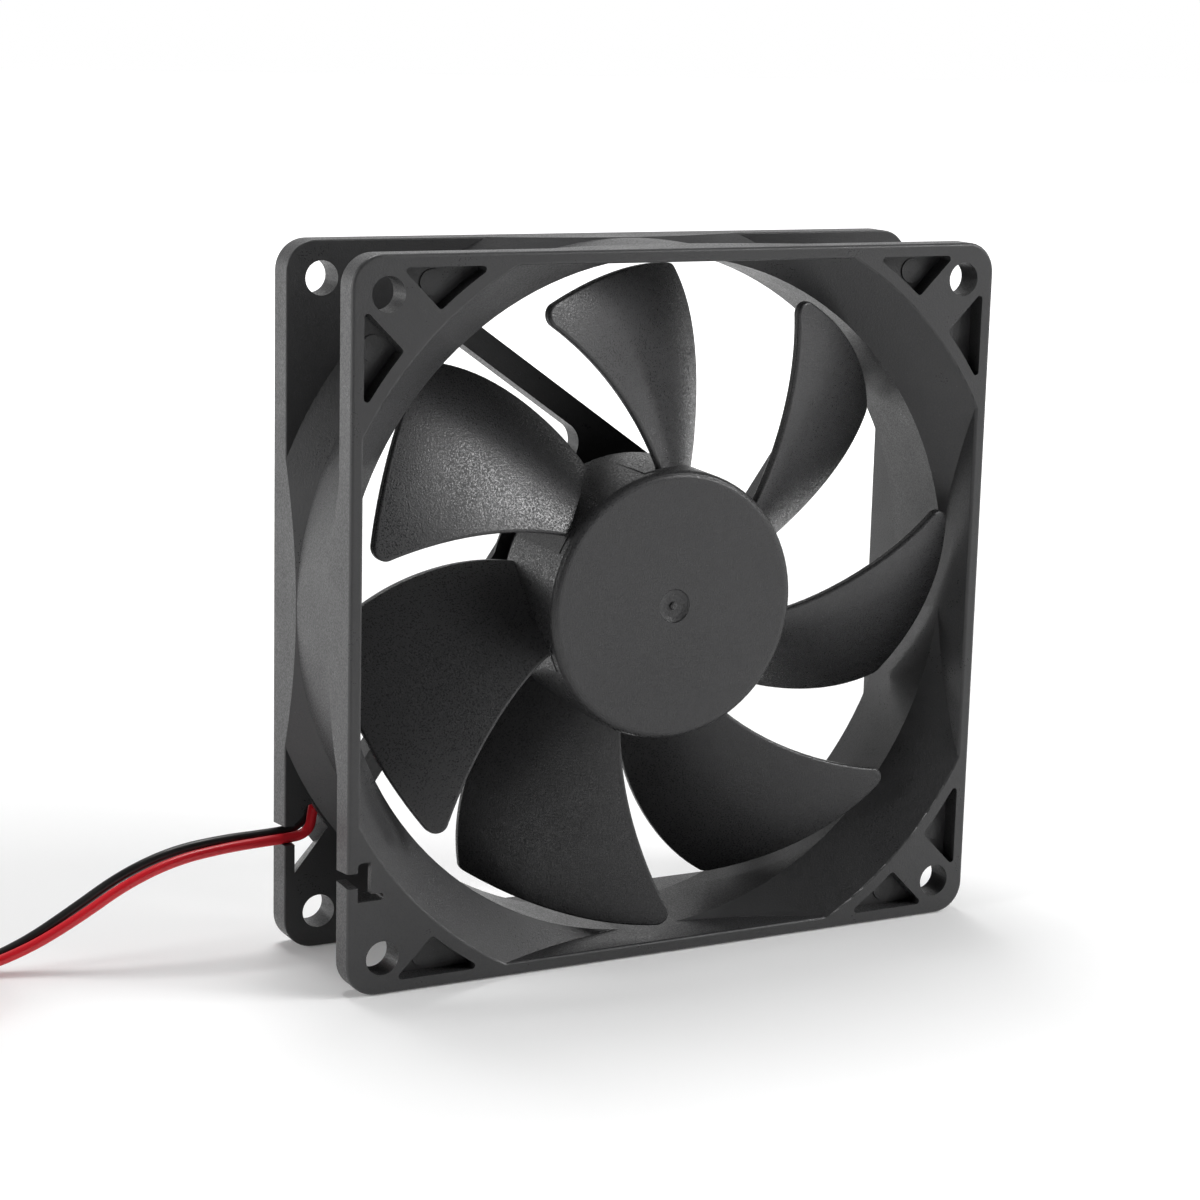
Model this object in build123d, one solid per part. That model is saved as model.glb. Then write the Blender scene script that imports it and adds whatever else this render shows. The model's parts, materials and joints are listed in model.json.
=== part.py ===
from build123d import *
import os
from math import sin, cos, tan, pi, radians, degrees, sqrt, hypot, atan2

# ------------------------------------------------------------------
# 92 x 92 x 25 mm axial case fan.
# Frame: +Z up, fan axis along Y, intake (hub face) towards -Y.
# Origin: middle of the bottom edge, on the surface it stands on.
# All shapes are first made about the fan axis, then lifted by AXIS_Z.
# ------------------------------------------------------------------

# driving dimensions (mm)
SIDE = 92.0                 # frame side
DEPTH = 25.0                # frame depth
HALF = SIDE / 2
YF = -DEPTH / 2             # intake face
YR = DEPTH / 2              # exhaust face
AXIS_Z = HALF
CORNER_R = 4.0              # flange corner radius
T_FRONT = 3.7               # intake flange thickness
T_REAR = 4.2                # exhaust flange thickness
EDGE_R = 0.45               # moulded edge rounding
HOLE_PITCH = 82.5           # screw hole spacing
HOLE_R = 2.2                # screw hole radius
THROAT_R = 44.5             # duct bore, intake end
THROAT_R2 = 44.75           # duct bore, exhaust end
MOUTH_R = 50.5              # intake flare radius at the face
OUTLET_R = 51.5             # exhaust flare radius at the face
FLAT_IN = 44.3              # inner flats that clip the flares
FLAT_R = 44.8              # the same at the exhaust side, on the side away from the leads
DUCT_OUT_R = 45.95          # duct outer radius
Y_THROAT_F = -6.0
Y_THROAT_R = 5.9

HUB_R_F = 17.6              # hub radius, front
HUB_R_R = 18.0              # hub radius, rear rim
HUB_YF = -10.7              # hub face
HUB_YR = 3.0                # hub rear rim
HUB_WALL = 1.25
HUB_FILLET = 1.1
BLADES = 7
TIP_R = 43.1
BLADE_T = 1.45              # blade thickness measured along the axis

BASE_R = 16.9               # motor base plate, outer
BASE_YF = 4.3               # front rim of the cup that holds the board
RIM_R = 17.0                # cup radius at its front rim
WAIST_R = 15.0              # cup radius where it meets the base plate
BASE_R_REAR = 15.0          # base plate radius at the exhaust face
STRUT_Y = 9.0               # front face of the struts
STRUT_ANG = -35.2           # direction of the first strut
STRUT_O1, STRUT_O2 = 14.0, 17.3
ROOT_R = 3.0                # rounding where a strut meets the base plate

WIRE_D = 1.35               # lead outside diameter

OUT = "parts"
os.makedirs(OUT, exist_ok=True)


def lift(s):
    return Pos(0, 0, AXIS_Z) * s


def save(name, s):
    export_step(lift(s), os.path.join(OUT, name + ".step"))


def revolve_y(pts):
    """Solid of revolution about the fan axis from (r, y) points."""
    f = make_face(Polyline([Vector(r, y, 0) for r, y in pts], close=True))
    return revolve(f, Axis.Y, 360)


def disc_y(r, y0, y1, ri=0.0):
    s = Pos(0, (y0 + y1) / 2, 0) * Rot(90, 0, 0) * Cylinder(r, y1 - y0)
    if ri > 0:
        s = s - Pos(0, (y0 + y1) / 2, 0) * Rot(90, 0, 0) * Cylinder(ri, y1 - y0 + 1)
    return s


def box(x0, x1, y0, y1, z0, z1):
    return Pos((x0 + x1) / 2, (y0 + y1) / 2, (z0 + z1) / 2) * Box(x1 - x0, y1 - y0, z1 - z0)


def prism(pts, y0, y1):
    """Prism along the axis from (x, z) points."""
    f = make_face(Polyline([Vector(x, y0, z) for x, z in pts], close=True))
    return extrude(f, amount=y1 - y0, dir=(0, 1, 0))


def spin(s, deg):
    return Rot(0, -deg, 0) * s      # positive turns counterclockwise seen from the intake side


def solid_of(s):
    ss = s.solids()
    return ss[0] if len(ss) == 1 else max(ss, key=lambda q: q.volume)


# ------------------------------------------------------------------ frame
def flange(y0, y1, face_y):
    sk = Pos(0, y0, 0) * Rot(-90, 0, 0) * RectangleRounded(SIDE, SIDE, CORNER_R)
    p = extrude(sk, amount=y1 - y0, dir=(0, 1, 0))
    es = [e for e in p.edges() if abs(e.center().Y - face_y) < 1e-3 and
          abs(e.bounding_box().size.Y) < 1e-3]
    p = fillet(es, EDGE_R)
    es = [e for e in p.edges() if abs(e.center().Y - (y1 if face_y == y0 else y0)) < 1e-3 and
          abs(e.bounding_box().size.Y) < 1e-3]
    return fillet(es, 0.2)


front_plate = flange(YF, YF + T_FRONT, YF)
rear_plate = flange(YR - T_REAR, YR, YR)

# lead exit: a hole through the exhaust flange that opens towards the rear, and a mouth in its rim
yi = YR - T_REAR
ex_in = [(-44.6, -35.7), (-40.0, -30.05), (-43.05, -25.1), (-44.6, -27.6)]
ex_out = [(-44.0, -37.2), (-40.35, -33.1), (-43.6, -28.75), (-44.6, -29.6)]
w0 = Polyline([Vector(x, yi - 0.02, z) for x, z in ex_in], close=True)
w1 = Polyline([Vector(x, YR + 0.02, z) for x, z in ex_out], close=True)
exit_cut = Solid.make_loft([w0.wire() if hasattr(w0, "wire") else w0, w1.wire() if hasattr(w1, "wire") else w1], ruled=True)
mc = make_face(Polyline([Vector(-47, yi - 1, -29.3), Vector(-47, YR + 1, -29.8), Vector(-47, YR + 1, -31.95), Vector(-47, yi - 1, -31.95)], close=True))
mouth_cut = extrude(mc, amount=2.7, dir=(1, 0, 0))
rear_plate = rear_plate - exit_cut - mouth_cut

# corner pockets of the intake flange
POCKET_RIM = 44.4
POCKET_WEB = 3.35
POCKET_R = 52.15
POCKET_FLOOR = YF + 2.5


def pocket(swap, sx, sz):
    # triangle beside the web: along the rim, along the web, along the duct wall
    x_rim = POCKET_RIM
    a = (x_rim - POCKET_WEB * sqrt(2), x_rim)
    t0 = POCKET_R / sqrt(2)
    w = POCKET_WEB / sqrt(2)
    # the point where the web line meets the wall circle
    k = sqrt(POCKET_R ** 2 - POCKET_WEB ** 2) / sqrt(2)
    b = (k - w, k + w)
    c = (sqrt(POCKET_R ** 2 - x_rim ** 2), x_rim)
    mid_a = (atan2(b[1], b[0]) + atan2(c[1], c[0])) / 2
    m = (POCKET_R * cos(mid_a), POCKET_R * sin(mid_a))
    pts = [a, b, m, c]
    if swap:
        pts = [(q, p) for p, q in pts]
    pts = [(p * sx, q * sz) for p, q in pts]
    v = [Vector(p, YF, q) for p, q in pts]
    wire = Line(v[0], v[1]) + ThreePointArc(v[1], v[2], v[3]) + Line(v[3], v[0])
    f = make_face(wire)
    f = fillet(f.vertices(), 0.45)
    return extrude(f, amount=2.5, dir=(0, 1, 0))


pins = []
for sx, sz in ((-1, 1), (1, 1), (1, -1), (-1, -1)):
    for swap in (False, True):
        if (sx, sz) == (-1, -1) and swap:
            continue            # this side holds the lead slot instead
        front_plate = front_plate - pocket(swap, sx, sz)
        px, pz = (34.6, 42.3) if not swap else (42.3, 34.6)
        pins.append(disc_y(1.6, POCKET_FLOOR - 0.18, POCKET_FLOOR + 0.3).translate(Vector(px * sx, 0, pz * sz)))
for p in pins:
    front_plate = front_plate + p

# lead slot with a snap-in mouth in the intake flange
slot = fillet(box(-44.65, -42.85, YF - 1, YF + T_FRONT + 1, -33.65, -28.65).edges().filter_by(Axis.Y).sort_by(Axis.X)[:2].sort_by(Axis.Z)[1:], 0.6)
slot_back = box(-44.65, -41.3, YF + 1.1, YF + T_FRONT + 1, -33.65, -28.65)
slot_step = fillet(box(-43.5, -41.2, YF - 1, YF + 2.6, -33.65, -32.7).edges().filter_by(Axis.Y).sort_by(Axis.X)[2:], 0.45)
vn = make_face(Polyline([Vector(-46.5, YF - 0.6, -29.85), Vector(-46.5, YF - 0.6, -31.85),
                         Vector(-46.5, YF + T_FRONT + 0.6, -31.6), Vector(-46.5, YF + T_FRONT + 0.6, -30.3)], close=True))
vnotch = extrude(vn, amount=2.2, dir=(1, 0, 0))
mouth2 = box(-46.5, -44.3, YF + T_FRONT - 1.4, YF + T_FRONT + 1, -31.0, -30.7)
front_plate = front_plate - slot - slot_back - slot_step - vnotch - mouth2

# duct: clipped double cone outside, clipped double cone bore inside
outer = revolve_y([(0, -11.5), (DUCT_OUT_R + 6.1, -11.5), (DUCT_OUT_R, -5.4), (DUCT_OUT_R, 4.65),
                   (DUCT_OUT_R + 6.6, 11.3), (0, 11.3)])
outer = outer & box(-HALF, HALF, -11.5, 11.3, -HALF, HALF)
bore = revolve_y([(0, YF - 1), (MOUTH_R + 1, YF - 1), (THROAT_R, Y_THROAT_F), (THROAT_R2, Y_THROAT_R),
                  (OUTLET_R + (OUTLET_R - THROAT_R2) / (YR - Y_THROAT_R), YR + 1), (0, YR + 1)])
bore = (bore & box(-FLAT_IN, FLAT_IN, YF - 2, 0, -FLAT_IN, FLAT_IN)) + (bore & box(-FLAT_IN, FLAT_R, 0, YR + 2, -FLAT_IN, FLAT_IN))

# the exit hole stays open under the duct wall
frame = front_plate + outer + rear_plate
frame = frame - bore
exit_keep = exit_cut - revolve_y([(0, yi - 1), (DUCT_OUT_R + (yi - 1 - 4.65), yi - 1),
                                  (OUTLET_R + 0.05, YR + 0.05), (0, YR + 0.05)])
frame = frame - exit_keep
for sx in (-1, 1):
    for sz in (-1, 1):
        frame = frame - disc_y(HOLE_R, YF - 1, YR + 1).translate(Vector(sx * HOLE_PITCH / 2, 0, sz * HOLE_PITCH / 2))

# edge rounding of the two mouths
for yy, rad in ((YF, 0.4), (YR, 0.3)):
    es = [e for e in frame.edges() if abs(e.center().Y - yy) < 0.02 and e.bounding_box().size.Y < 0.02
          and 40.0 < hypot(e.center().X, e.center().Z) < 51.5 and
          (abs(hypot(*[getattr(e @ 0.5, c) for c in ("X", "Z")]) - (MOUTH_R if yy == YF else OUTLET_R)) < 0.1 or
           abs((e @ 0.5).X - FLAT_R) < 0.1 or
           abs(max(abs((e @ 0.5).X), abs((e @ 0.5).Z)) - FLAT_IN) < 0.1)]
    try:
        frame = fillet(es, rad)
        print("mouth edges rounded", yy, len(es))
    except Exception as err:
        print("mouth edges left sharp", yy, len(es), err)

# motor base cup
cup = revolve_y([(0, YR), (BASE_R_REAR - 0.3, YR), (BASE_R_REAR, YR - 0.3), (BASE_R, STRUT_Y + 0.4), (BASE_R, STRUT_Y),
                 (WAIST_R, STRUT_Y), (RIM_R, BASE_YF + 0.25), (RIM_R - 0.25, BASE_YF), (RIM_R - 1.25, BASE_YF),
                 (WAIST_R - 1.15, STRUT_Y - 0.3), (WAIST_R - 1.15, 11.0), (6.2, 11.0), (6.2, 8.6), (0, 8.6)])
post_bore = disc_y(4.2, 8.0, YR - 0.01 - 0.0)
# struts
s_a = (cos(radians(STRUT_ANG)), sin(radians(STRUT_ANG)))
s_n = (-s_a[1], s_a[0])


def strut(o1, o2, s_in, s_out, y0=STRUT_Y):
    def q(o, s):
        return (o * s_n[0] - s * s_a[0], o * s_n[1] - s * s_a[1])
    return prism([q(o1, s_in), q(o2, s_in), q(o2, s_out), q(o1, s_out)], y0, YR)


def root_web():
    """Hollow rounding between the strut's inner edge and the base plate."""
    oc = STRUT_O1 - ROOT_R
    sc = sqrt((BASE_R + ROOT_R) ** 2 - oc ** 2)

    def q(o, s):
        return Vector(o * s_n[0] - s * s_a[0], STRUT_Y, o * s_n[1] - s * s_a[1])
    a2 = atan2(-sc, -oc)
    p0 = q(oc + ROOT_R, sc)
    pm = q(oc + ROOT_R * cos(a2 / 2), sc + ROOT_R * sin(a2 / 2))
    p1 = q(oc + ROOT_R * cos(a2), sc + ROOT_R * sin(a2))
    f = make_face(ThreePointArc(p0, pm, p1) + Line(p1, q(8.0, 8.0)) + Line(q(8.0, 8.0), q(STRUT_O1 + 1.0, 6.0)) +
                  Line(q(STRUT_O1 + 1.0, 6.0), q(STRUT_O1 + 1.0, sc)) + Line(q(STRUT_O1 + 1.0, sc), p0))
    return extrude(f, amount=YR - 0.4 - STRUT_Y, dir=(0, 1, 0))


keep = revolve_y([(0, 0), (THROAT_R + 0.8, 0), (THROAT_R + 0.8, Y_THROAT_R + 0.4), (OUTLET_R + 0.6, YR), (0, YR)])
keep = keep & box(-FLAT_IN - 0.6, FLAT_IN + 0.6, 0, YR, -FLAT_IN - 0.6, FLAT_IN + 0.6)
SB_O1, SB_O2 = 12.7, 15.9       # the strut that carries the leads
struts = None
for k in range(4):
    if k == 1:
        s = spin(strut(SB_O1, SB_O2, 4.0, 52.0), 90)
    else:
        s = spin(strut(STRUT_O1, STRUT_O2, 0.0, 52.0), 90 * k)
        s = s + spin(root_web(), 90 * k)
    struts = s if struts is None else struts + s
inside = revolve_y([(0, STRUT_Y - 1), (WAIST_R - 1.2, STRUT_Y - 1), (WAIST_R - 1.2, YR), (0, YR)])
struts = (struts & keep) - inside
motor_base = cup + struts
motor_base = motor_base - disc_y(4.22, 8.0, YR + 1)
# recess for the rear label
motor_base = motor_base - disc_y(13.35, YR - 0.25, YR + 1)
motor_base = motor_base - disc_y(4.22, 8.0, YR + 1)

frame = frame + motor_base


# channel for the two leads: along the strut, over the outlet rim and into the exit hole
def bq(o, s, y):
    """Point on the lead strut: offset o from the axis, distance s outwards, depth y."""
    x = o * s_n[0] - s * s_a[0]
    z = o * s_n[1] - s * s_a[1]
    c, d = cos(radians(90)), sin(radians(90))
    return Vector(x * c - z * d, y, x * d + z * c)


CH_Y = 9.5
CH = [(12.0, -3.2), (13.95, -3.2), (13.95, 7.0), (15.25, 12.5), (15.25, 41.0), (13.35, 41.0), (13.35, 14.0), (12.0, 7.0)]
THIN = [(14.45, -9.0), (14.45, 6.8), (16.6, 13.0), (17.6, 13.0), (17.6, -9.0)]


def strut_prism(pts, y0):
    f = make_face(Polyline([bq(o, q, y0) for o, q in pts], close=True))
    return extrude(f, amount=YR + 1 - y0, dir=(0, 1, 0))


frame = frame - strut_prism(CH, CH_Y)
frame = frame - strut_prism([(14.45, -1.0)] + THIN[1:4] + [(17.6, -1.0)], 10.2)
rim_cut = prism([(-32.6, -20.4), (-35.4, -22.2), (-38.6, -23.5), (-41.4, -24.7), (-42.9, -26.2), (-43.5, -28.9), (-43.3, -31.0), (-42.6, -30.9), (-39.9, -29.4),
                 (-40.2, -28.0), (-37.6, -26.8), (-33.9, -24.9)], 9.4, YR + 1)
frame = frame - rim_cut
# the flare wall is notched straight through where the leads pass it
wall_notch = prism([(-39.4, -28.4), (-39.9, -29.2), (-42.6, -30.8), (-43.2, -29.0), (-42.4, -26.6), (-41.4, -25.6)], yi - 0.05, YR + 1) \
    - revolve_y([(0, 0), (49.85, 0), (49.85, YR + 2), (0, YR + 2)])
frame = frame - wall_notch
# thin skin that hides the top of the exit hole and the bend of the leads behind it
skin = prism([(-44.8, -27.2), (-43.05, -24.7), (-41.6, -26.6), (-42.55, -26.75), (-43.03, -26.9), (-43.44, -28.12),
              (-44.27, -28.97), (-44.8, -29.2)], yi, yi + 0.6) - revolve_y([(0, 0), (49.9, 0), (49.9, YR + 2), (0, YR + 2)])
frame = frame + skin
frame = solid_of(frame)
save("frame", frame)
print("frame volume", round(frame.volume, 1), "solids", len(frame.solids()), "valid", frame.is_valid)

# ------------------------------------------------------------------ bearing
save("bearing_tube", disc_y(4.2, -5.0, 11.9, 3.2))
save("sleeve_bearing", disc_y(3.19, -4.6, 8.2, 1.53))
save("thrust_pad", disc_y(3.15, 10.0, 10.9))
save("bearing_cap", disc_y(3.15, 10.95, 12.1))
save("rear_label", disc_y(13.2, YR - 0.24, YR - 0.06))

# ------------------------------------------------------------------ rotor
hub = revolve_y([(0, HUB_YF), (HUB_R_F - HUB_FILLET, HUB_YF)] +
                [(HUB_R_F - HUB_FILLET + HUB_FILLET * sin(radians(a)), HUB_YF + HUB_FILLET - HUB_FILLET * cos(radians(a)))
                 for a in (15, 30, 45, 60, 75, 90)] +
                [(HUB_R_R, HUB_YR), (HUB_R_R - HUB_WALL, HUB_YR), (HUB_R_F - HUB_WALL, HUB_YF + 1.35), (0, HUB_YF + 1.35)])

# parting steps: beside the front edge of each blade the hub wall runs without draft
STEP_YF = -8.92
STEP_A0, STEP_A1 = 92.0, 103.0
for k in range(BLADES):
    a0, a1 = radians(STEP_A0 + k * 360 / BLADES), radians(STEP_A1 + k * 360 / BLADES)
    wedge = prism([(0, 0), (30 * cos(a0), 30 * sin(a0)), (30 * cos(a1), 30 * sin(a1))], STEP_YF, HUB_YR)
    hub = hub - (revolve_y([(17.0, STEP_YF), (19.0, STEP_YF), (19.0, HUB_YR), (17.0, HUB_YR)]) & wedge)
    hub = hub + (revolve_y([(16.9, STEP_YF), (17.74, STEP_YF), (17.99, HUB_YR), (16.9, HUB_YR)]) & wedge)
hub = solid_of(hub)

# blade edges: angle (deg) and depth (mm) against radius; angles for the blade at the top
R0, R1 = 18.0, 43.0


def poly(c, r):
    t = (r - R0) / (R1 - R0)
    return sum(ci * t ** i for i, ci in enumerate(c))


LEAD_TH = (95.88, 28.17, -9.08, 3.33)
LEAD_Y = (-8.88, -1.22, -3.17, 2.64)
TRAIL_TH = (57.47, 34.23, -23.46, 14.07)
TRAIL_ROOT = 3.8            # extra sweep of the trailing edge where it meets the hub, deg
TRAIL_Y = (1.4, 8.6, -11.9, 4.5)
CAMBER = (-1.4, -0.5)


def trail_th(r):
    t = max(0.0, 1 - (r - R0) / (R1 - R0))
    return poly(TRAIL_TH, r) + TRAIL_ROOT * min(t, 1.1) ** 6


def blade_point(r, s):
    """s = 0 on the trailing edge, 1 on the leading edge."""
    th = trail_th(r) + (poly(LEAD_TH, r) - trail_th(r)) * s
    y = poly(TRAIL_Y, r) + (poly(LEAD_Y, r) - poly(TRAIL_Y, r)) * s
    y += poly(CAMBER, r) * 4 * s * (1 - s)
    return Vector(r * cos(radians(th)), y, r * sin(radians(th)))


def outline_edge(c, r):
    th = poly(c, r)
    return Vector(r * cos(radians(th)), -20, r * sin(radians(th)))


r_list = [16.6 + (45.0 - 16.6) * i / 11 for i in range(12)]
s_list = [-0.14 + 1.28 * j / 11 for j in range(12)]
grid = [[blade_point(r, s) for s in s_list] for r in r_list]
surf = Face.make_surface_from_array_of_points(grid, tol=0.01)
slab = extrude(surf, amount=BLADE_T, dir=(0, 1, 0))

rs = [16.9, 18.5, 21, 24, 27, 30, 33, 36, 39, 41.5, TIP_R]
le = [outline_edge(LEAD_TH, r) for r in rs]
te = [Vector(r * cos(radians(trail_th(r))), -20, r * sin(radians(trail_th(r)))) for r in rs]
mid_th = (poly(LEAD_TH, TIP_R) + poly(TRAIL_TH, TIP_R)) / 2
tipm = Vector(TIP_R * cos(radians(mid_th)), -20, TIP_R * sin(radians(mid_th)))
# run along the leading edge, across the tip, back along the trailing edge
plan_wire = Spline(le) + ThreePointArc(le[-1], tipm, te[-1]) + Spline(te[::-1]) + Line(te[0], le[0])
plan = make_face(plan_wire)
vs = sorted(plan.vertices(), key=lambda v: (v.center() - le[-1]).length)
plan = fillet(vs[:1], 1.6)
vs = sorted(plan.vertices(), key=lambda v: (v.center() - te[-1]).length)
plan = fillet(vs[:1], 1.3)
plan_prism = extrude(plan, amount=45, dir=(0, 1, 0))
blade = slab & plan_prism
blade = solid_of(blade)
print("blade volume", round(blade.volume, 2), "valid", blade.is_valid)
try:
    es = [e for e in blade.edges() if e.length > 8 and hypot(e.center().X, e.center().Z) > 19]
    blade = solid_of(fillet(es, 0.35))
    print("blade edges rounded", len(es))
except Exception as err:
    print("blade edges left sharp", err)

impeller = hub
for k in range(BLADES):
    impeller = impeller + spin(blade, -k * 360 / BLADES)
# keep the hollow of the hub clear and the rear rim flat
impeller = impeller - revolve_y([(0, HUB_YF + 1.35), (HUB_R_F - HUB_WALL, HUB_YF + 1.35), (HUB_R_R - HUB_WALL, HUB_YR),
                                 (HUB_R_R - HUB_WALL, HUB_YR + 5), (0, HUB_YR + 5)])
impeller = impeller - revolve_y([(0, HUB_YR), (HUB_R_R + 0.5, HUB_YR), (HUB_R_R + 1.4, HUB_YR + 5), (0, HUB_YR + 5)])
# moulding gate mark in the middle of the hub face
impeller = impeller - revolve_y([(0, HUB_YF - 0.5), (2.3, HUB_YF - 0.5), (2.25, HUB_YF), (2.1, HUB_YF + 0.2), (1.5, HUB_YF + 0.36), (0.55, HUB_YF + 0.42),
                                 (0.45, HUB_YF + 0.12), (0.2, HUB_YF + 0.06), (0, HUB_YF + 0.14)])
impeller = impeller + disc_y(3.6, HUB_YF + 1.0, HUB_YF + 3.3)
impeller = impeller - disc_y(2.8, HUB_YF + 1.36, HUB_YF + 3.5)
impeller = solid_of(impeller)
save("impeller", impeller)
print("impeller volume", round(impeller.volume, 1), "valid", impeller.is_valid)

yt = HUB_YF + 1.35          # inside of the hub face
yoke = revolve_y([(3.7, yt + 0.02), (15.6, yt + 0.02), (16.25, yt + 0.65), (16.25, 2.55), (15.35, 2.55), (15.35, yt + 0.92), (3.7, yt + 0.92)])
save("rotor_yoke", yoke)
save("ring_magnet", disc_y(15.33, yt + 1.4, 2.3, 13.3))
save("shaft_boss", disc_y(2.78, yt + 0.02, yt + 3.2, 1.5))
shaft = disc_y(1.5, yt + 0.3, 9.75) - disc_y(2.0, 8.75, 9.15, 1.15)
save("shaft", solid_of(shaft))
save("oil_slinger", disc_y(2.6, -5.9, -5.4, 1.5))
clip = disc_y(2.7, 8.79, 9.11, 1.16) - box(0, 4, 8, 10, -0.15, 0.15)
save("retaining_clip", solid_of(clip))

# ------------------------------------------------------------------ stator
core = disc_y(6.4, -4.6, 0.8, 4.21)
for k in range(4):
    arm = box(5.8, 11.6, -4.6, 0.8, -1.6, 1.6)
    shoe = disc_y(12.85, -4.6, 0.8, 11.4) & prism([(0, 0), (20, -14.0), (20, 14.0)], -5, 1)
    core = core + spin(arm, 45 + 90 * k) + spin(shoe, 45 + 90 * k)
save("stator_core", solid_of(core))


def insulator(y0, y1, ybody0, ybody1):
    s = disc_y(6.3, y0, y1, 4.25)
    for k in range(4):
        arm = box(6.0, 11.2, y0, y1, -2.1, 2.1)
        lip = disc_y(11.9, ybody0, ybody1, 11.1) & prism([(0, 0), (20, -8.5), (20, 8.5)], ybody0 - 1, ybody1 + 1)
        s = s + spin(arm, 45 + 90 * k) + spin(lip, 45 + 90 * k)
    return solid_of(s)


save("insulator_front", insulator(-5.2, -4.62, -6.6, -4.62))
ins_r = insulator(0.82, 1.4, 0.82, 3.0)
legs = None
for k in range(4):
    leg = spin(Pos(5.4, (1.4 + 5.5) / 2, 0) * Rot(90, 0, 0) * Cylinder(0.7, 5.5 - 1.2), 90 * k)
    legs = leg if legs is None else legs + leg
save("insulator_rear", solid_of(ins_r + legs))

coils = []
for k in range(4):
    c = box(6.7, 10.45, -6.3, 2.5, -3.1, 3.1) - box(6.0, 12, -5.25, 1.45, -2.15, 2.15)
    es = [e for e in c.edges() if abs(e.center().Y + 1.9) > 4.0 and abs(abs(e.center().Z) - 3.1) < 0.01 and e.length > 3.0]
    try:
        c = fillet(es, 1.2)
    except Exception as err:
        print("coil left square", err)
    coils.append(spin(solid_of(c), 45 + 90 * k))
export_step(Compound(children=[lift(c) for c in coils]), os.path.join(OUT, "stator_coils.step"))

pcb = disc_y(14.5, 5.6, 6.8, 4.6) - disc_y(0.45, 5, 8).translate(Vector(9.6, 0, 0)) - disc_y(0.45, 5, 8).translate(Vector(-9.6, 0, 0)) \
    - disc_y(0.45, 5, 8).translate(Vector(0, 0, 9.6)) - disc_y(0.45, 5, 8).translate(Vector(0, 0, -9.6))
save("circuit_board", solid_of(pcb))
wp = []
for k in range(4):
    wp.append(spin(Pos(9.6, 5.0, 0) * Rot(90, 0, 0) * Cylinder(0.38, 4.4), 90 * k))
export_step(Compound(children=[lift(c) for c in wp]), os.path.join(OUT, "winding_pins.step"))
save("hall_sensor", solid_of(spin(box(12.2, 13.9, 4.1, 5.58, -1.6, 1.6), 20)))
chip = box(8.2, 12.2, 6.82, 8.3, -2.45, 2.45)
for j in range(4):
    chip = chip + box(7.5, 8.25, 6.82, 7.1, -1.95 + j * 1.27 - 0.18, -1.95 + j * 1.27 + 0.18) \
        + box(12.15, 12.9, 6.82, 7.1, -1.95 + j * 1.27 - 0.18, -1.95 + j * 1.27 + 0.18)
save("driver_chip", solid_of(spin(chip, -62)))
save("capacitor", solid_of(spin(Pos(11.6, 0, 0) * disc_y(1.6, 6.82, 9.9), 62)))


# ------------------------------------------------------------------ leads
def tube(name, pts, d=WIRE_D, verbose=True, radii_cap=None):
    v = [Vector(*p) for p in pts]
    rad = []
    for i in range(1, len(v) - 1):
        a = v[i] - v[i - 1]
        b = v[i + 1] - v[i]
        turn = radians(a.get_angle(b))
        r = 0.45 * min(a.length, b.length) / tan(turn / 2)
        rad.append(min(r, 400.0))
    path = FilletPolyline(*v, radius=rad)
    prof = Plane(origin=path @ 0, z_dir=path % 0) * Circle(d / 2)
    s = sweep(prof, path=path)
    L = path.length
    vol = s.volume
    print(name, "length %.1f" % L, "volume ratio %.4f" % (vol / (pi * d * d / 4 * L)), "valid", s.is_valid)
    print("   radii", [round(r, 1) for r in rad], "in diameters", [round(r / d, 1) for r in rad])
    save(name, s)
    return L


# route points, x, y, z measured from the fan axis in z
ZF = -AXIS_Z                # the surface the fan stands on
LZ = ZF + WIRE_D / 2 + 0.03
COIL_C = (-98.5, 7.0)       # middle of the put-away coil
RED = [(-38.4, 10.35, -25.3), (-41.0, 10.3, -26.6), (-41.5, 10.1, -28.7), (-41.85, 9.87, -30.3), (-43.1, 9.72, -31.15),
       (-45.3, 9.6, -31.3), (-48.6, 9.55, -31.4), (-53.5, 9.65, -31.65), (-60.0, 10.1, -32.6), (-66.3, 10.9, -35.2), (-72.2, 11.9, -39.2),
       (-78.4, 13.0, -42.8), (-85.0, 14.2, LZ + 0.1), (-91.5, 15.2, LZ), (-98.5, 15.8, LZ)]
BLACK = [(-38.1, 11.72, -24.75), (-40.6, 11.7, -26.1), (-41.55, 11.5, -28.0), (-42.45, 11.25, -29.8), (-44.5, 11.05, -30.75),
         (-48.2, 10.95, -30.85), (-53.6, 11.0, -30.95), (-60.2, 11.5, -31.8), (-66.6, 12.35, -34.4), (-72.6, 13.35, -38.5),
         (-78.7, 14.45, -42.5), (-85.2, 15.6, LZ + 0.1), (-91.6, 16.6, LZ), (-98.5, 17.2, LZ)]
tube("lead_red", RED)
tube("lead_black", BLACK)
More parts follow.
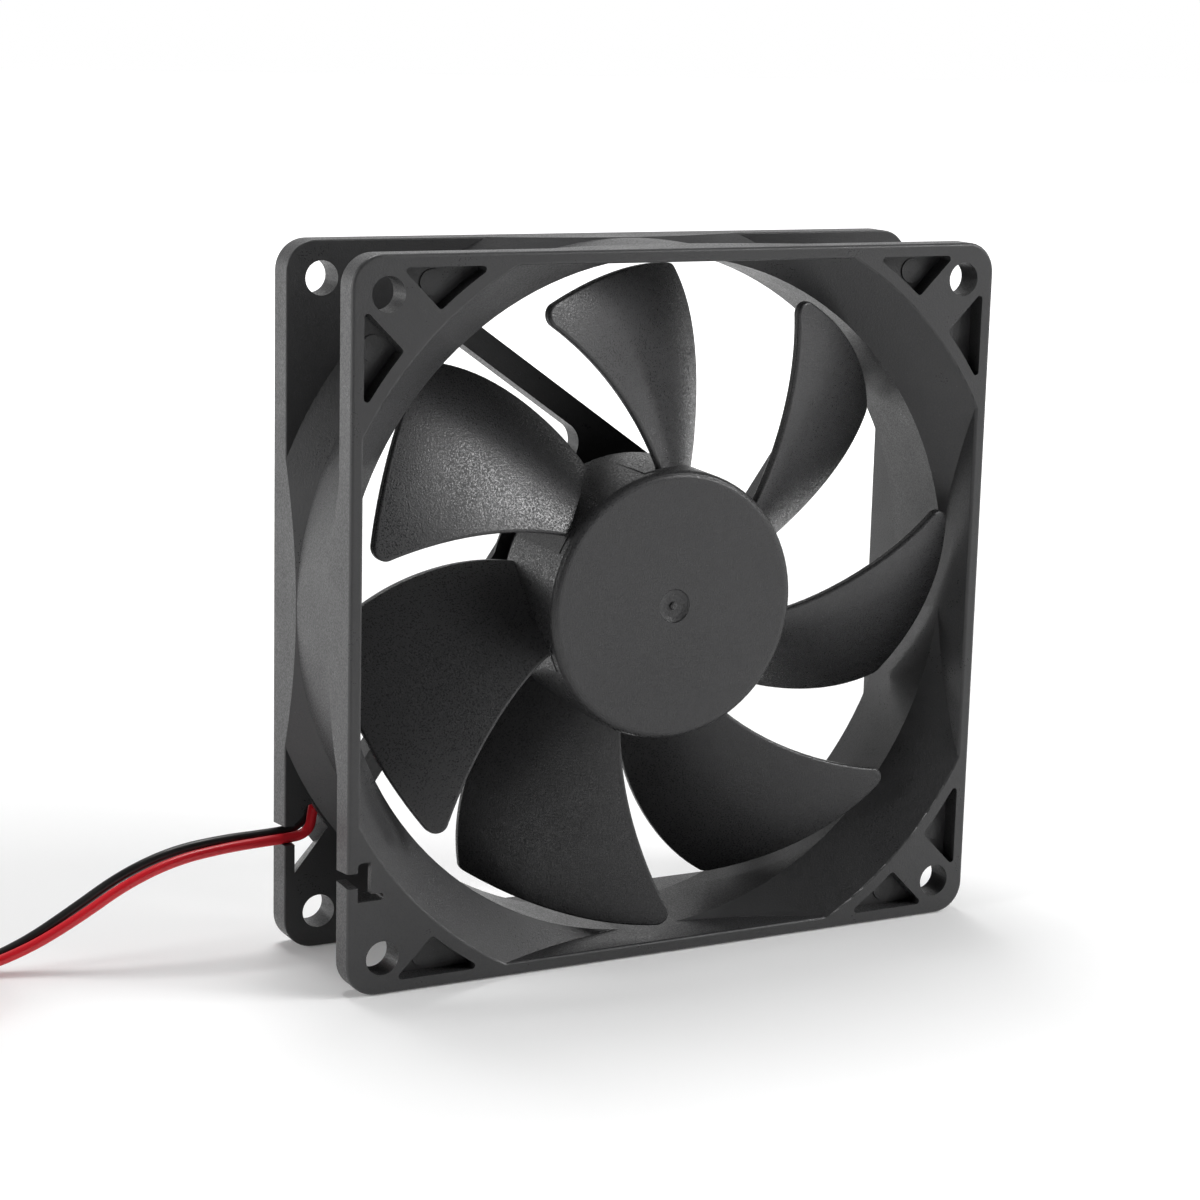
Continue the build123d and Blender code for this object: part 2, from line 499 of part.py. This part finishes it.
# coil: closed ring that the turns fill, open where the leads run in and out
ring = revolve(make_face(Polyline([Vector(COIL_C[0] + a, COIL_C[1], ZF + b) for a, b in
                                   ((5.3, 0.4), (5.7, 0.0), (10.5, 0.0), (10.95, 0.5), (10.95, 3.8), (10.5, 4.25),
                                    (5.7, 4.25), (5.3, 3.85))],
                                  close=True)), Axis((COIL_C[0], COIL_C[1], 0), (0, 0, 1)), 360)
ring = ring - box(COIL_C[0] - 0.15, COIL_C[0] + 30, COIL_C[1] + 6.8, COIL_C[1] + 13, ZF - 1, ZF + 1.7)
ring = ring - box(COIL_C[0] - 13, COIL_C[0] - 7.9, COIL_C[1] - 13, COIL_C[1] + 0.1, ZF + 2.2, ZF + 6)
save("lead_coil", solid_of(ring))
RT = [(-108.7, 7.0, ZF + 3.5), (-108.75, 3.6, ZF + 3.48), (-108.9, 0.2, ZF + 3.2), (-109.3, -3.2, ZF + 2.5)]
BT = [(-107.3, 7.0, ZF + 3.5), (-107.25, 3.6, ZF + 3.48), (-107.1, 0.2, ZF + 3.2), (-106.76, -3.2, ZF + 2.5)]
tube("lead_red_tail", RT)
tube("lead_black_tail", BT)

# coil tie: a flat band round the turns
ty = COIL_C[1] - 8.05
tie = box(COIL_C[0] - 1.3, COIL_C[0] + 1.3, ty - 3.55, ty + 3.55, ZF, ZF + 4.95) \
    - box(COIL_C[0] - 2, COIL_C[0] + 2, ty - 3.06, ty + 3.06, ZF + 0.0, ZF + 4.35)
save("coil_tie", solid_of(tie))

# connector: three-way 2.54 mm housing, two ways filled
CY = -3.2
CX = (-106.76, -109.3, -111.84)
hx0, hx1 = CX[2] - 1.35, CX[0] + 1.35
house = box(hx0, hx1, CY - 12.7, CY, ZF, ZF + 5.0)
es = house.edges().filter_by(Axis.Y)
house = fillet(es, 0.35)
for cx in CX:
    house = house - box(cx - 0.85, cx + 0.85, CY - 12.8, CY + 0.1, ZF + 1.6, ZF + 3.4)
    house = house - box(cx - 0.55, cx + 0.55, CY - 8.6, CY - 5.4, ZF + 3.3, ZF + 5.2)
house = house + box(hx0 + 1.5, hx1 - 1.5, CY - 12.7, CY - 9.2, ZF + 4.9, ZF + 5.9)
save("connector_housing", solid_of(house))
terms = []
for cx in CX[:2]:
    t = box(cx - 0.8, cx + 0.8, CY - 12.2, CY - 5.6, ZF + 1.65, ZF + 3.35) - box(cx - 0.5, cx + 0.5, CY - 12.3, CY - 6.6, ZF + 1.95, ZF + 3.05)
    t = t + box(cx - 0.8, cx + 0.8, CY - 5.7, CY - 0.05, ZF + 1.65, ZF + 1.85)
    terms.append(lift(solid_of(t)))
export_step(Compound(children=terms), os.path.join(OUT, "connector_terminals.step"))


# leads held in the strut channel, from the board to the lead exit
def bt(o, s, y):
    v = bq(o, s, y)
    return (v.X, v.Y, v.Z)


RI = [bt(12.75, 1.6, 6.83), bt(12.75, 1.6, 9.1), bt(13.1, 4.0, 10.25), bt(13.35, 7.4, 10.3), bt(14.3, 13.0, 10.28),
      bt(14.3, 26.5, 10.24), bt(14.3, 36.0, 10.28), (-35.54, 10.405, -23.87), (-38.4, 10.35, -25.3)]
BI = [bt(12.75, -1.6, 6.83), bt(12.75, -1.6, 10.1), bt(13.1, 1.2, 11.5), bt(13.3, 6.6, 11.62), bt(14.3, 13.0, 11.64),
      bt(14.3, 26.0, 11.62), bt(14.3, 35.8, 11.64), (-35.14, 11.741, -23.53), (-38.1, 11.72, -24.75)]
tube("lead_red_inner", RI)
tube("lead_black_inner", BI)
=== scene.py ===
import math
import json

import bpy
from mathutils import Matrix, Vector


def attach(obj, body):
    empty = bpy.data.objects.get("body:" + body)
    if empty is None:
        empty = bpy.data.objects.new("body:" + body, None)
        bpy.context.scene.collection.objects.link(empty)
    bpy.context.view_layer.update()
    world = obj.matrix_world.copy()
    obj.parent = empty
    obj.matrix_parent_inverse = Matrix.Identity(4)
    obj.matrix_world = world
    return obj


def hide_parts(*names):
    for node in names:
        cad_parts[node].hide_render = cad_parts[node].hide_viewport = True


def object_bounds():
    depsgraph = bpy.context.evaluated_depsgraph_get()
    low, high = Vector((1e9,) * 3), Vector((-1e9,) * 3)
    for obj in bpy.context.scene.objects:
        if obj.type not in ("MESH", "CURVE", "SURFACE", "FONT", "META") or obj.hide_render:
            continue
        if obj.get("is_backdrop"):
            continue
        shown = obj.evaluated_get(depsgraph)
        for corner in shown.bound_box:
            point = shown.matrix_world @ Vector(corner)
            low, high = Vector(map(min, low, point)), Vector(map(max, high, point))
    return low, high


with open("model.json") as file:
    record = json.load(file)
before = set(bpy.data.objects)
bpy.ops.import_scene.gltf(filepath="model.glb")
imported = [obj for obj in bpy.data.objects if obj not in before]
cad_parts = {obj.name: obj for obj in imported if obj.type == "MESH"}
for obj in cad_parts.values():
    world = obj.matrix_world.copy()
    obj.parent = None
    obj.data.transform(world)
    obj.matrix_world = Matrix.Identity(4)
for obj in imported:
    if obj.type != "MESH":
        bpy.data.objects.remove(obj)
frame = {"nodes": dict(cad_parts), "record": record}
cad_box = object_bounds()
nodes = frame["nodes"]
scene = bpy.context.scene
AX = 0.046                      # height of the fan axis, metres


def flat_box(b):
    out = []
    for p in b:
        try:
            out.append([float(c) for c in p])
        except TypeError:
            out.append(float(p))
    return out


# ------------------------------------------------------------------ camera
cam_data = bpy.data.cameras.new("camera")
cam_data.sensor_width = 36.0
cam_data.lens = 86.447
cam_data.clip_start = 0.01
cam_data.clip_end = 20.0
cam = bpy.data.objects.new("camera", cam_data)
scene.collection.objects.link(cam)
cam.matrix_world = Matrix(((0.883851, 0.073077, -0.462026, -0.179611),
                           (-0.467096, 0.190845, -0.863365, -0.325949),
                           (0.025083, 0.978896, 0.202813, 0.121690),
                           (0, 0, 0, 1)))
scene.camera = cam


# ------------------------------------------------------------------ node helpers
def new_mat(name):
    m = bpy.data.materials.new(name)
    m.use_nodes = True
    nt = m.node_tree
    bsdf = nt.nodes["Principled BSDF"]
    return m, nt, bsdf


def noise(nt, scale, detail=3.0, rough=0.5, vec=None, dist=0.0):
    n = nt.nodes.new("ShaderNodeTexNoise")
    n.inputs["Scale"].default_value = scale
    n.inputs["Detail"].default_value = detail
    n.inputs["Roughness"].default_value = rough
    n.inputs["Distortion"].default_value = dist
    if vec is not None:
        nt.links.new(vec, n.inputs["Vector"])
    return n.outputs["Fac"]


def ramp(nt, fac, stops):
    r = nt.nodes.new("ShaderNodeValToRGB")
    cr = r.color_ramp
    cr.elements[0].position = stops[0][0]
    cr.elements[0].color = (*stops[0][1], 1)
    cr.elements[1].position = stops[-1][0]
    cr.elements[1].color = (*stops[-1][1], 1)
    for p, c in stops[1:-1]:
        e = cr.elements.new(p)
        e.color = (*c, 1)
    nt.links.new(fac, r.inputs["Fac"])
    return r.outputs["Color"]


def maprange(nt, val, a, b, c, d):
    n = nt.nodes.new("ShaderNodeMapRange")
    n.inputs["From Min"].default_value = a
    n.inputs["From Max"].default_value = b
    n.inputs["To Min"].default_value = c
    n.inputs["To Max"].default_value = d
    nt.links.new(val, n.inputs["Value"])
    return n.outputs["Result"]


def bump(nt, height, strength, dist, prev=None):
    b = nt.nodes.new("ShaderNodeBump")
    b.inputs["Strength"].default_value = strength
    b.inputs["Distance"].default_value = dist
    nt.links.new(height, b.inputs["Height"])
    if prev is not None:
        nt.links.new(prev, b.inputs["Normal"])
    return b.outputs["Normal"]


def coords(nt):
    t = nt.nodes.new("ShaderNodeTexCoord")
    return t.outputs["Object"]


def plastic(name, lo, hi, r_lo, r_hi, grain=5200.0, grain_h=0.000011, spec=0.5, ripple=0.00003, speck=True, sparkle=0.0):
    """Moulded thermoplastic: spark-eroded grain, slow flow ripple, colour and gloss drift, pale dust specks."""
    m, nt, b = new_mat(name)
    v = coords(nt)
    drift = noise(nt, 38.0, 4.0, 0.55, v)
    col = ramp(nt, drift, [(0.32, lo), (0.68, hi)])
    fine = noise(nt, grain, 2.0, 0.6, v)
    if speck:
        mix = nt.nodes.new("ShaderNodeMix")
        mix.data_type = "RGBA"
        f = maprange(nt, noise(nt, 3600.0, 1.0, 0.5, v), 0.70, 0.80, 0.0, 0.35)
        nt.links.new(f, mix.inputs["Factor"])
        nt.links.new(col, mix.inputs["A"])
        mix.inputs["B"].default_value = (hi[0] * 2.4, hi[1] * 2.4, hi[2] * 2.4, 1)
        col = mix.outputs["Result"]
    nt.links.new(col, b.inputs["Base Color"])
    rough = maprange(nt, noise(nt, 160.0, 3.0, 0.6, v), 0.3, 0.7, r_lo, r_hi)
    if sparkle:
        add = nt.nodes.new("ShaderNodeMath")
        add.operation = "ADD"
        nt.links.new(rough, add.inputs[0])
        nt.links.new(maprange(nt, noise(nt, 4600.0, 1.0, 0.5, v), 0.35, 0.65, -sparkle, sparkle), add.inputs[1])
        rough = add.outputs[0]
    nt.links.new(rough, b.inputs["Roughness"])
    n1 = bump(nt, noise(nt, 90.0, 2.0, 0.5, v), 0.25, ripple)
    n2 = bump(nt, fine, 0.6, grain_h, n1)
    nt.links.new(n2, b.inputs["Normal"])
    b.inputs["Specular IOR Level"].default_value = spec
    return m


def metal(name, lo, hi, r_lo, r_hi, streak=(1, 1, 1), scale=900.0, height=0.00001):
    m, nt, b = new_mat(name)
    v = coords(nt)
    mp = nt.nodes.new("ShaderNodeMapping")
    mp.inputs["Scale"].default_value = streak
    nt.links.new(v, mp.inputs["Vector"])
    s = noise(nt, scale, 3.0, 0.6, mp.outputs["Vector"])
    nt.links.new(ramp(nt, noise(nt, 60.0, 3.0, 0.5, v), [(0.3, lo), (0.7, hi)]), b.inputs["Base Color"])
    nt.links.new(maprange(nt, s, 0.3, 0.7, r_lo, r_hi), b.inputs["Roughness"])
    nt.links.new(bump(nt, s, 0.35, height), b.inputs["Normal"])
    b.inputs["Metallic"].default_value = 1.0
    return m


MAT = {}
MAT["frame_plastic"] = plastic("frame_plastic", (0.030, 0.030, 0.031), (0.038, 0.038, 0.039), 0.38, 0.48, grain=4200.0,
                               grain_h=0.00004, sparkle=0.13)
MAT["rotor_plastic"] = plastic("rotor_plastic", (0.027, 0.027, 0.028), (0.034, 0.034, 0.035), 0.36, 0.45, grain=4200.0,
                               grain_h=0.00006, sparkle=0.2)
MAT["lead_red_pvc"] = plastic("lead_red_pvc", (0.60, 0.012, 0.022), (0.70, 0.020, 0.032), 0.26, 0.34, grain=1500.0,
                              grain_h=0.000006, ripple=0.00001, speck=False)
MAT["lead_black_pvc"] = plastic("lead_black_pvc", (0.010, 0.010, 0.010), (0.016, 0.016, 0.016), 0.28, 0.40, grain=1500.0,
                                grain_h=0.000006, ripple=0.00001, speck=False)
MAT["plug_plastic"] = plastic("plug_plastic", (0.022, 0.022, 0.023), (0.03, 0.03, 0.031), 0.38, 0.5)
MAT["terminal_metal"] = metal("terminal_metal", (0.62, 0.60, 0.56), (0.74, 0.72, 0.68), 0.22, 0.34)
MAT["steel"] = metal("steel", (0.52, 0.52, 0.53), (0.62, 0.62, 0.63), 0.24, 0.4, streak=(1, 8, 1))
MAT["brass"] = metal("brass", (0.62, 0.44, 0.18), (0.74, 0.55, 0.26), 0.25, 0.4)
MAT["bronze"] = metal("bronze", (0.40, 0.25, 0.12), (0.5, 0.33, 0.17), 0.5, 0.65, scale=2500.0, height=0.00003)
MAT["magnet"] = plastic("magnet", (0.035, 0.030, 0.030), (0.05, 0.045, 0.044), 0.6, 0.75, grain=2000.0)
MAT["lamination"] = metal("lamination", (0.30, 0.31, 0.33), (0.42, 0.43, 0.45), 0.35, 0.5, streak=(0.1, 8, 0.1))
MAT["bobbin"] = plastic("bobbin", (0.66, 0.63, 0.55), (0.74, 0.71, 0.63), 0.4, 0.5, speck=False)
MAT["copper"] = metal("copper", (0.55, 0.22, 0.09), (0.68, 0.30, 0.13), 0.25, 0.36, streak=(1, 1, 1), scale=5000.0,
                      height=0.00004)
MAT["board"] = plastic("board", (0.02, 0.09, 0.035), (0.035, 0.13, 0.05), 0.3, 0.42, speck=False)
MAT["chip"] = plastic("chip", (0.014, 0.014, 0.015), (0.02, 0.02, 0.02), 0.5, 0.6)
MAT["rubber"] = plastic("rubber", (0.018, 0.018, 0.018), (0.026, 0.026, 0.026), 0.6, 0.75)
MAT["label"] = plastic("label", (0.50, 0.51, 0.52), (0.56, 0.57, 0.58), 0.34, 0.44, speck=False)
MAT["tie"] = plastic("tie", (0.02, 0.02, 0.02), (0.028, 0.028, 0.028), 0.35, 0.45)

slot_of = {s["node"]: s["material_slot"] for s in frame["record"]["subparts"]}
for name, ob in nodes.items():
    m = MAT[slot_of[name]]
    ob.data.materials.clear()
    ob.data.materials.append(m)

# ------------------------------------------------------------------ leads
D = 0.00135
FLOOR_Z = 0.000705


def mm(pts):
    """Route points: millimetres, z from the fan axis."""
    return [(x / 1000, y / 1000, z / 1000 + AX) for x, y, z in pts]


LZ = -45.295
RED = mm([(-38.4, 10.35, -25.3), (-41.0, 10.3, -26.6), (-41.5, 10.1, -28.7), (-41.85, 9.87, -30.3), (-43.1, 9.72, -31.15),
          (-45.3, 9.6, -31.3), (-48.6, 9.55, -31.4), (-53.5, 9.65, -31.65), (-60.0, 10.1, -32.6), (-66.3, 10.9, -35.2),
          (-72.2, 11.9, -39.2), (-78.4, 13.0, -42.8), (-85.0, 14.2, LZ + 0.1), (-91.5, 15.2, LZ)])
BLACK = mm([(-38.1, 11.72, -24.75), (-40.6, 11.7, -26.1), (-41.55, 11.5, -28.0), (-42.45, 11.25, -29.8), (-44.5, 11.05, -30.75),
            (-48.2, 10.95, -30.85), (-53.6, 11.0, -30.95), (-60.2, 11.5, -31.8), (-66.6, 12.35, -34.4), (-72.6, 13.35, -38.5),
            (-78.7, 14.45, -42.5), (-85.2, 15.6, LZ + 0.1), (-91.6, 16.6, LZ)])


def smooth(a, b, t):
    s = min(1.0, max(0.0, (t - a) / (b - a)))
    return s * s * (3 - 2 * s)


def coil(which):
    """The put-away turns: two turns on the floor from outside in, a swap, one and a bit on top from inside out."""
    pts = []
    per = 24
    n = int(4.25 * per)
    for i in range(1, n + 1):
        t = i / per
        red = which == "red"
        r = 8.8 if red else 10.2
        z = 0.705
        r += -2.8 * smooth(0.80, 0.97, t)
        phi = math.pi * smooth(1.60, 1.78, t)
        if phi > 0:
            if red:
                r = 6.7 - 0.7 * math.cos(phi)
                z = 0.705 if phi <= math.pi / 2 else 2.105 - 1.4 * math.sin(phi)
            else:
                r = 6.7 + 0.7 * math.cos(phi)
                z = 0.705 + 1.4 * math.sin(phi) if phi <= math.pi / 2 else 2.105
        r += 2.8 * smooth(2.38, 2.56, t)
        z += 1.4 * smooth(3.18, 3.34, t)
        # hand-wound turns are not quite round
        r += 0.05 * math.sin(2 * math.pi * t * 2 + 0.6) * (1 if t > 0.3 else t / 0.3)
        a = math.radians(90) + 2 * math.pi * t
        pts.append((-0.0985 + r * 0.001 * 1.004 * math.cos(a), 0.007 + r * 0.001 * 1.004 * math.sin(a), z * 0.001))
    return pts


TAIL_R = [(-0.10875, 0.0036, 0.00348), (-0.1089, 0.0002, 0.0032), (-0.1093, -0.0032, 0.0025)]
TAIL_B = [(-0.10725, 0.0036, 0.00348), (-0.1071, 0.0002, 0.0032), (-0.10676, -0.0032, 0.0025)]


def lead(name, pts, slot):
    cu = bpy.data.curves.new(name, "CURVE")
    cu.dimensions = "3D"
    cu.bevel_depth = D / 2
    cu.bevel_resolution = 5
    cu.resolution_u = 6
    cu.use_fill_caps = True
    sp = cu.splines.new("NURBS")
    sp.points.add(len(pts) - 1)
    for p, q in zip(sp.points, pts):
        p.co = (*q, 1.0)
    sp.use_endpoint_u = True
    sp.order_u = 3
    ob = bpy.data.objects.new(name, cu)
    scene.collection.objects.link(ob)
    cu.materials.append(MAT[slot])
    return ob


red = lead("red_lead", RED + [(-0.0985, 0.0158, FLOOR_Z)] + coil("red") + TAIL_R, "lead_red_pvc")
black = lead("black_lead", BLACK + [(-0.0985, 0.0172, FLOOR_Z)] + coil("black") + TAIL_B, "lead_black_pvc")
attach(red, "housing")
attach(black, "housing")
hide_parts("lead_red", "lead_red_tail", "lead_coil")
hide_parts("lead_black", "lead_black_tail")

# ------------------------------------------------------------------ floor, light
me = bpy.data.meshes.new("floor")
S = 4.0
me.from_pydata([(-S, -S, -0.0001), (S, -S, -0.0001), (S, S, -0.0001), (-S, S, -0.0001)], [], [(0, 1, 2, 3)])
floor = bpy.data.objects.new("floor", me)
scene.collection.objects.link(floor)
fm, nt, b = new_mat("floor")
b.inputs["Base Color"].default_value = (0.92, 0.92, 0.92, 1)
b.inputs["Roughness"].default_value = 0.7
b.inputs["Specular IOR Level"].default_value = 0.2
# the far part of the floor glows towards the backdrop, so that no horizon line shows
fc = nt.nodes.new("ShaderNodeTexCoord")
fd = nt.nodes.new("ShaderNodeVectorMath")
fd.operation = "DOT_PRODUCT"
fd.inputs[1].default_value = (0.46, 0.888, 0.0)
nt.links.new(fc.outputs["Object"], fd.inputs[0])
fr = nt.nodes.new("ShaderNodeMapRange")
fr.interpolation_type = "SMOOTHSTEP"
fr.inputs["From Min"].default_value = 0.10
fr.inputs["From Max"].default_value = 0.75
fr.inputs["To Min"].default_value = 0.10
fr.inputs["To Max"].default_value = 1.0
nt.links.new(fd.outputs["Value"], fr.inputs["Value"])
b.inputs["Emission Color"].default_value = (1, 1, 1, 1)
nt.links.new(fr.outputs["Result"], b.inputs["Emission Strength"])
me.materials.append(fm)
floor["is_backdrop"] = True

WORLD_B, WORLD_BR = 0.642, 0.472
LIGHTS = [(180, 72, 0.4, 5.0), (60, 35, 0.3, 4.1), (90, 8, 0.3, 2.7), (45, 25, 0.36, 2.6), (270, 25, 0.36, 2.5),
          (270, 8, 0.3, 2.1), (225, 8, 0.3, 1.5), (45, 8, 0.3, 0.4)]

world = bpy.data.worlds.new("studio")
scene.world = world
world.use_nodes = True
# bright backdrop behind and to the right of the fan, dark room in front of it
wt = world.node_tree
bg = wt.nodes["Background"]
bg.inputs["Color"].default_value = (1, 1, 1, 1)
wc = wt.nodes.new("ShaderNodeTexCoord")


def wmath(op, a, b):
    n = wt.nodes.new("ShaderNodeMath")
    n.operation = op
    for i, v in enumerate((a, b)):
        if isinstance(v, (int, float)):
            n.inputs[i].default_value = v
        else:
            wt.links.new(v, n.inputs[i])
    return n.outputs[0]


def lobe(axis, strength):
    d = wt.nodes.new("ShaderNodeVectorMath")
    d.operation = "DOT_PRODUCT"
    d.inputs[1].default_value = axis
    wt.links.new(wc.outputs["Generated"], d.inputs[0])
    return wmath("MULTIPLY", wmath("POWER", wmath("MAXIMUM", d.outputs["Value"], 0.0), 2.0), strength)


glow = wmath("ADD", lobe((0, 1, 0), WORLD_B), lobe((0.707, 0.707, 0), WORLD_BR))
lp = wt.nodes.new("ShaderNodeLightPath")
shown = lp.outputs["Is Camera Ray"]
wt.links.new(wmath("ADD", wmath("MULTIPLY", glow, wmath("SUBTRACT", 1.0, shown)), shown), bg.inputs["Strength"])


def area(name, loc, target, size, power, size_y=None):
    l = bpy.data.lights.new(name, "AREA")
    l.energy = power
    l.size = size
    if size_y:
        l.shape = "RECTANGLE"
        l.size_y = size_y
    o = bpy.data.objects.new(name, l)
    scene.collection.objects.link(o)
    o.location = loc
    d = Vector(target) - Vector(loc)
    o.rotation_euler = d.to_track_quat("-Z", "Y").to_euler()
    return o


# azimuth (0 = front, 90 = right), elevation, size, power
for az, el, size, power in LIGHTS:
    a, e = math.radians(az), math.radians(el)
    c = Vector((0, 0, 0.046))
    area("light_%d_%d" % (az, el), c + Vector((math.sin(a) * math.cos(e), -math.cos(a) * math.cos(e), math.sin(e))), c, size, power)

scene.view_settings.view_transform = "Standard"
scene.view_settings.look = "None"
scene.view_settings.exposure = 0.0

{"cad": flat_box(cad_box), "visual": flat_box(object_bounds())}
